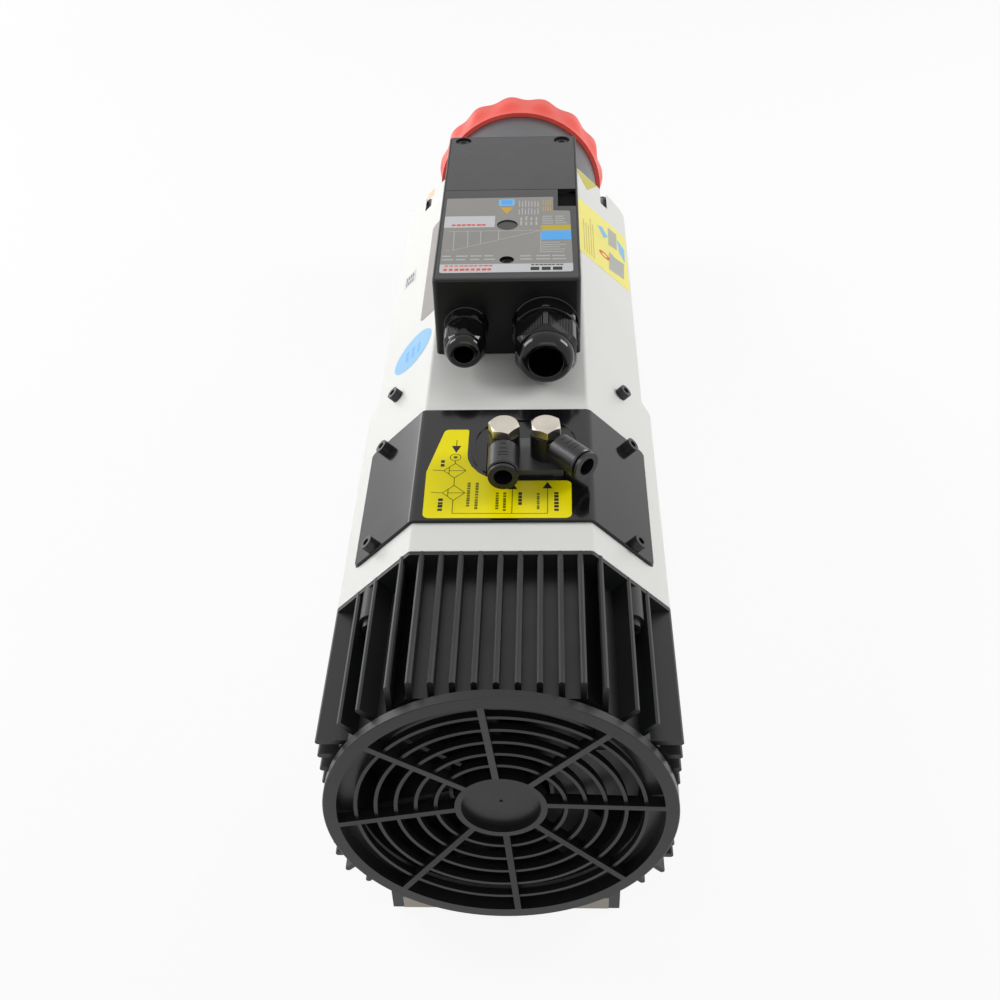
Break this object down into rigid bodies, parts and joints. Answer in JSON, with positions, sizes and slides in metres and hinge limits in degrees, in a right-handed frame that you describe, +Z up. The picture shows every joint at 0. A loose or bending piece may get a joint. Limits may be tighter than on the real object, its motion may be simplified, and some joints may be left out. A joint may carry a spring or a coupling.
{
  "type": "motor spindle",
  "caption": "Air-cooled motor spindle with automatic tool change: finned body with a rear fan, sheet cover, terminal box, swivelling air elbows and a soft cap over the taper nose.",
  "frame": {"origin": "centre of the bolt pattern on the mounting face under the foot", "axes": "+Y along the spindle axis from the fan to the nose, +Z up from the mounting face, +X to the right seen from the fan"},
  "size_m": [0.18, 0.719, 0.2399],
  "materials": {
    "housing_black": "satin",
    "plate_bare": "satin",
    "sheet_white": "satin",
    "plate_gloss": "gloss",
    "screw_dark": "satin",
    "nickel": "polished",
    "elbow_black": "satin",
    "collar_grey": "satin",
    "box_charcoal": "satin",
    "strip_pale": "matte",
    "gland_black": "gloss",
    "seal_rubber": "matte",
    "fan_black": "gloss",
    "fan_motor_black": "satin",
    "machined_aluminium": "satin",
    "ground_steel": "satin",
    "spring_steel": "satin",
    "laminations": "matte",
    "copper": "satin",
    "bronze": "satin",
    "nose_grey": "satin",
    "cap_red": "satin"
  },
  "bodies": {
    "housing": {"rear_housing": "housing_black", "joint_bolts": "screw_dark", "motor_housing": "housing_black", "base_plate": "plate_bare", "cover": "sheet_white", "cover_screws": "screw_dark", "inlet_plate": "plate_gloss", "plate_screws": "screw_dark", "inlet_block": "box_charcoal", "banjo_bolts": "nickel", "box_base": "box_charcoal", "lid_near": "box_charcoal", "lid_far": "box_charcoal", "lid_screws": "screw_dark", "terminal_strip": "strip_pale", "small_gland_body": "gland_black", "large_gland_body": "gland_black", "small_gland_nut": "gland_black", "large_gland_nut": "gland_black", "gland_seals": "seal_rubber", "fan_frame": "fan_black", "fan_motor": "fan_motor_black", "cylinder_cap": "machined_aluminium", "release_cylinder": "machined_aluminium", "bearing_carrier": "machined_aluminium", "rear_bearing_outer_ring": "ground_steel", "wave_spring": "spring_steel", "stator_core": "laminations", "windings": "copper", "speed_sensor": "machined_aluminium", "front_bearing_outer_rings": "ground_steel", "nose_housing": "nose_grey", "nose_corner_screws": "screw_dark", "front_cover": "machined_aluminium", "front_cover_screws": "screw_dark"},
    "rotor": {"shaft": "ground_steel", "rotor_core": "laminations", "rotor_rings": "machined_aluminium", "speed_wheel": "ground_steel", "rear_bearing_inner_ring": "ground_steel", "front_bearing_inner_rings": "ground_steel", "rear_lock_nut": "ground_steel", "front_lock_nut": "ground_steel", "drive_keys": "ground_steel", "drawbar_bush": "bronze", "disc_springs": "spring_steel"},
    "drawbar_unit": {"drawbar": "ground_steel", "gripper": "ground_steel"},
    "piston_unit": {"release_piston": "ground_steel", "piston_seal": "seal_rubber"},
    "rear_balls": {"rear_ball_row": "ground_steel"},
    "front_balls": {"front_ball_rows": "ground_steel"},
    "fan_rotor": {"fan_impeller": "fan_black"},
    "left_swivel": {"left_elbow": "elbow_black"},
    "left_collar": {"left_release_collar": "collar_grey"},
    "right_swivel": {"right_elbow": "elbow_black"},
    "right_collar": {"right_release_collar": "collar_grey"},
    "cap": {"nose_cap": "cap_red"}
  },
  "joints": [
    {"name": "shaft_spin", "type": "hinge", "parent": "housing", "child": "rotor", "pos_m": [0, 0, 0.097], "axis": [0, 1, 0], "continuous": true},
    {"name": "drawbar_slide", "type": "slide", "parent": "rotor", "child": "drawbar_unit", "axis": [0, 1, 0], "range_m": [0, 0.0081], "deforming": ["disc_springs"]},
    {"name": "piston_slide", "type": "slide", "parent": "housing", "child": "piston_unit", "axis": [0, 1, 0], "range_m": [0, 0.009]},
    {"name": "rear_balls_spin", "type": "hinge", "parent": "housing", "child": "rear_balls", "pos_m": [0, -0.102, 0.097], "axis": [0, 1, 0], "continuous": true},
    {"name": "front_balls_spin", "type": "hinge", "parent": "housing", "child": "front_balls", "pos_m": [0, 0.39, 0.097], "axis": [0, 1, 0], "continuous": true},
    {"name": "fan_spin", "type": "hinge", "parent": "housing", "child": "fan_rotor", "pos_m": [0, -0.245, 0.097], "axis": [0, 1, 0], "continuous": true},
    {"name": "left_elbow_swivel", "type": "hinge", "parent": "housing", "child": "left_swivel", "pos_m": [0.0005, -0.0958, 0.2005], "axis": [0, 0, 1], "range_deg": [-150, 0]},
    {"name": "left_collar_press", "type": "slide", "parent": "left_swivel", "child": "left_collar", "axis": [0, 1, 0], "range_m": [0, 0.0012], "stiffness_N_per_m": 1500},
    {"name": "right_elbow_swivel", "type": "hinge", "parent": "housing", "child": "right_swivel", "pos_m": [0.0235, -0.0958, 0.2005], "axis": [0, 0, 1], "range_deg": [-42.6, 107.4]},
    {"name": "right_collar_press", "type": "slide", "parent": "right_swivel", "child": "right_collar", "axis": [-0.6769, 0.7361, 0], "range_m": [0, 0.0012], "stiffness_N_per_m": 1500},
    {"name": "cap_pull", "type": "slide", "parent": "housing", "child": "cap", "axis": [0, 1, 0], "range_m": [0, 0.06]}
  ],
  "couplings": [
    {"joint": "rear_balls_spin", "follows": "shaft_spin", "ratio": 0.4576},
    {"joint": "front_balls_spin", "follows": "shaft_spin", "ratio": 0.4507},
    {"joint": "drawbar_slide", "follows": "piston_slide", "ratio": 0.9}
  ]
}
